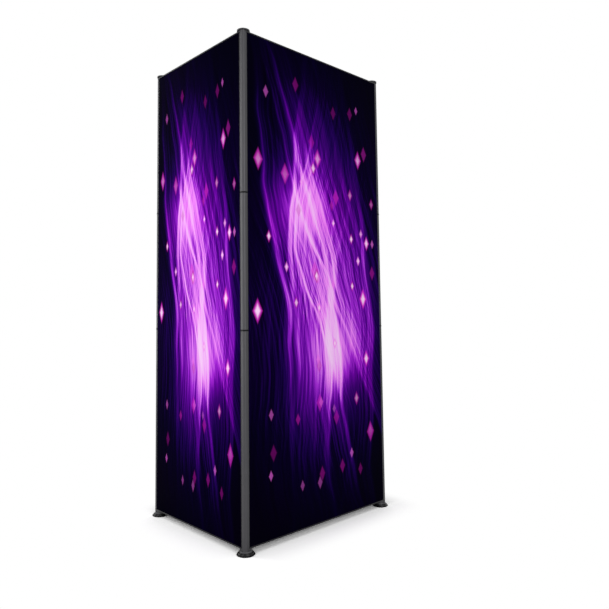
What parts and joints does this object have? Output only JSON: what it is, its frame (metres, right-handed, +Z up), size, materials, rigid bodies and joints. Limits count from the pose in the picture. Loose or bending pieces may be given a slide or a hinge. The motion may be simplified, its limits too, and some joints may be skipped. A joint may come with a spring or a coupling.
{
  "type": "display pillar tower",
  "caption": "Tall free-standing display tower: sectional round posts on levelling feet hold a full-height printed panel on every side, open at the top.",
  "frame": {"origin": "on the floor, at the middle of the plan", "axes": "+Z up; the wide front panel faces -Y; +X to its right as seen from the front"},
  "size_m": [1.7, 1.37, 4],
  "materials": {
    "post": "gunmetal anodised, satin",
    "joint": "black moulded",
    "cap": "black moulded",
    "collar": "gunmetal casting",
    "foot_disc": "black moulded, satin",
    "stud": "zinc plated",
    "print": "printed film, satin",
    "magnet": "magnetic rubber tape",
    "rail": "black powder coat",
    "bar": "natural anodised"
  },
  "bodies": {
    "tower": {"front_left_lower_post": "post", "front_left_middle_post": "post", "front_left_upper_post": "post", "front_left_lower_joint": "joint", "front_left_upper_joint": "joint", "front_left_cap": "cap", "front_left_collar": "collar", "front_right_lower_post": "post", "front_right_middle_post": "post", "front_right_upper_post": "post", "front_right_lower_joint": "joint", "front_right_upper_joint": "joint", "front_right_cap": "cap", "front_right_collar": "collar", "rear_right_lower_post": "post", "rear_right_middle_post": "post", "rear_right_upper_post": "post", "rear_right_lower_joint": "joint", "rear_right_upper_joint": "joint", "rear_right_cap": "cap", "rear_right_collar": "collar", "rear_left_lower_post": "post", "rear_left_middle_post": "post", "rear_left_upper_post": "post", "rear_left_lower_joint": "joint", "rear_left_upper_joint": "joint", "rear_left_cap": "cap", "rear_left_collar": "collar", "front_panel": "print", "front_top_rail": "rail", "front_bottom_rail": "rail", "front_mid_bar": "bar", "front_magnet_left": "magnet", "front_magnet_right": "magnet", "right_panel": "print", "right_top_rail": "rail", "right_bottom_rail": "rail", "right_mid_bar": "bar", "right_magnet_left": "magnet", "right_magnet_right": "magnet", "rear_panel": "print", "rear_top_rail": "rail", "rear_bottom_rail": "rail", "rear_mid_bar": "bar", "rear_magnet_left": "magnet", "rear_magnet_right": "magnet", "left_panel": "print", "left_top_rail": "rail", "left_bottom_rail": "rail", "left_mid_bar": "bar", "left_magnet_left": "magnet", "left_magnet_right": "magnet"},
    "front_left_foot": {"front_left_foot_disc": "foot_disc"},
    "front_left_spindle": {"front_left_stud": "stud"},
    "front_right_foot": {"front_right_foot_disc": "foot_disc"},
    "front_right_spindle": {"front_right_stud": "stud"},
    "rear_right_foot": {"rear_right_foot_disc": "foot_disc"},
    "rear_right_spindle": {"rear_right_stud": "stud"},
    "rear_left_foot": {"rear_left_foot_disc": "foot_disc"},
    "rear_left_spindle": {"rear_left_stud": "stud"}
  },
  "joints": [
    {"name": "front_left_foot_travel", "type": "slide", "parent": "tower", "child": "front_left_foot", "axis": [0, 0, -1], "range_m": [0, 0.0105]},
    {"name": "front_left_stud_turn", "type": "hinge", "parent": "front_left_foot", "child": "front_left_spindle", "pos_m": [-0.78, -0.615, 0.02], "axis": [0, 0, -1], "range_deg": [0, 2160]},
    {"name": "front_right_foot_travel", "type": "slide", "parent": "tower", "child": "front_right_foot", "axis": [0, 0, -1], "range_m": [0, 0.0105]},
    {"name": "front_right_stud_turn", "type": "hinge", "parent": "front_right_foot", "child": "front_right_spindle", "pos_m": [0.78, -0.615, 0.02], "axis": [0, 0, -1], "range_deg": [0, 2160]},
    {"name": "rear_right_foot_travel", "type": "slide", "parent": "tower", "child": "rear_right_foot", "axis": [0, 0, -1], "range_m": [0, 0.0105]},
    {"name": "rear_right_stud_turn", "type": "hinge", "parent": "rear_right_foot", "child": "rear_right_spindle", "pos_m": [0.78, 0.615, 0.02], "axis": [0, 0, -1], "range_deg": [0, 2160]},
    {"name": "rear_left_foot_travel", "type": "slide", "parent": "tower", "child": "rear_left_foot", "axis": [0, 0, -1], "range_m": [0, 0.0105]},
    {"name": "rear_left_stud_turn", "type": "hinge", "parent": "rear_left_foot", "child": "rear_left_spindle", "pos_m": [-0.78, 0.615, 0.02], "axis": [0, 0, -1], "range_deg": [0, 2160]}
  ],
  "couplings": [
    {"joint": "front_left_stud_turn", "follows": "front_left_foot_travel", "rad_per_m": 3590.4},
    {"joint": "front_right_stud_turn", "follows": "front_right_foot_travel", "rad_per_m": 3590.4},
    {"joint": "rear_right_stud_turn", "follows": "rear_right_foot_travel", "rad_per_m": 3590.4},
    {"joint": "rear_left_stud_turn", "follows": "rear_left_foot_travel", "rad_per_m": 3590.4}
  ]
}
